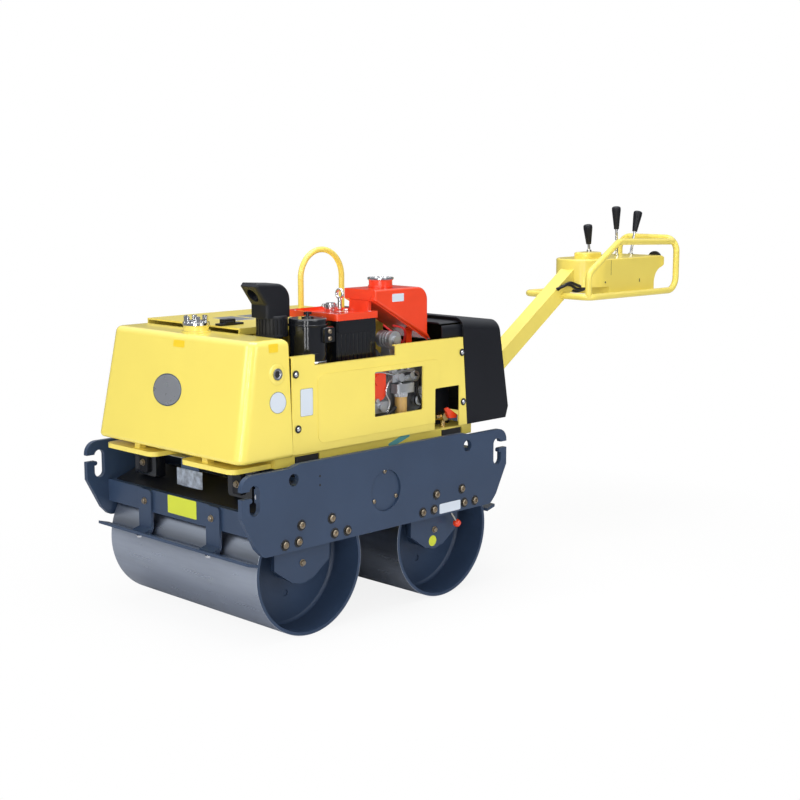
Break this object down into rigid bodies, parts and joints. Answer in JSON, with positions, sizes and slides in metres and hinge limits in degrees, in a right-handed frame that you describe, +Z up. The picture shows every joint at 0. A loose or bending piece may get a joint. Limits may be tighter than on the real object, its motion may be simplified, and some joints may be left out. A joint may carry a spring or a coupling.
{
  "type": "walk-behind double-drum vibratory road roller",
  "caption": "Walk-behind road roller: two steel drums between hook-ended side plates, water tank, open engine, tilting mast with handle ring and levers.",
  "frame": {"origin": "on the ground under the middle of the machine's outline", "axes": "+X is forward, towards the water tank; +Y is the left side of the machine, where the engine is open; +Z is up"},
  "size_m": [2.405, 0.758, 1.1818],
  "materials": {
    "black_paint": "gloss black",
    "alloy": "cast alloy",
    "red_paint": "gloss orange-red enamel",
    "yellow_paint": "glossy lemon yellow enamel",
    "black_plastic": "satin black moulding",
    "black_rubber": "matt",
    "brass": "machined",
    "cast_metal": "as-cast grey",
    "frame_paint": "satin slate blue-grey enamel",
    "chrome": "bright plated",
    "drum_steel": "rolled bare steel with wear streaks",
    "yellow_plastic": "moulded lemon yellow"
  },
  "bodies": {
    "chassis": {"air_cleaner": "black_paint", "alternator": "alloy", "brake_lever": "red_paint", "deck_latch": "black_rubber", "drain_valve": "brass", "engine_block": "cast_metal", "engine_head": "cast_metal", "exciter_housing": "frame_paint", "eyebolt": "chrome", "filter_bowl": "brass", "flywheel": "cast_metal", "front_apron": "frame_paint", "front_bracket_left": "frame_paint", "front_bracket_right": "frame_paint", "front_scraper": "frame_paint", "fuel_cap": "chrome", "fuel_filter": "alloy", "fuel_tank": "red_paint", "gear_cover": "red_paint", "injection_pump": "alloy", "lifting_hoop": "yellow_paint", "mast_bracket": "frame_paint", "mount_shelves": "frame_paint", "oil_pump": "alloy", "pre_cleaner": "black_plastic", "radiator": "black_paint", "radiator_cap": "chrome", "radiator_lid": "red_paint", "rear_apron": "frame_paint", "rear_bracket_left": "frame_paint", "rear_bracket_right": "frame_paint", "rear_cover": "black_plastic", "rear_scraper": "frame_paint", "round_covers": "frame_paint", "rubber_mounts": "black_rubber", "side_deck": "yellow_paint", "side_panel_left": "yellow_paint", "side_panel_right": "yellow_paint", "side_plate_left": "frame_paint", "side_plate_right": "frame_paint", "start_pulley": "alloy", "tank_cap": "chrome", "tank_port": "chrome", "upper_frame": "yellow_paint", "valve_cover": "cast_metal", "valve_handle": "red_paint", "water_tank": "yellow_plastic"},
    "front_roll": {"front_drum": "drum_steel"},
    "rear_roll": {"rear_drum": "drum_steel"},
    "handle": {"mast": "yellow_paint", "handle_ring": "yellow_paint", "handle_guard": "yellow_paint", "console": "yellow_paint", "console_lid": "yellow_paint", "stop_button": "black_plastic", "control_levers": "black_plastic", "lever_rods": "chrome"}
  },
  "joints": [
    {"name": "front_drum_spin", "type": "hinge", "parent": "chassis", "child": "front_roll", "pos_m": [0.9315, 0, 0.2], "axis": [0, 1, 0], "continuous": true},
    {"name": "rear_drum_spin", "type": "hinge", "parent": "chassis", "child": "rear_roll", "pos_m": [0.3775, 0, 0.2], "axis": [0, 1, 0], "continuous": true},
    {"name": "mast_tilt", "type": "hinge", "parent": "chassis", "child": "handle", "pos_m": [0.0045, 0, 0.466], "axis": [0, 1, 0], "range_deg": [0, 55]}
  ]
}
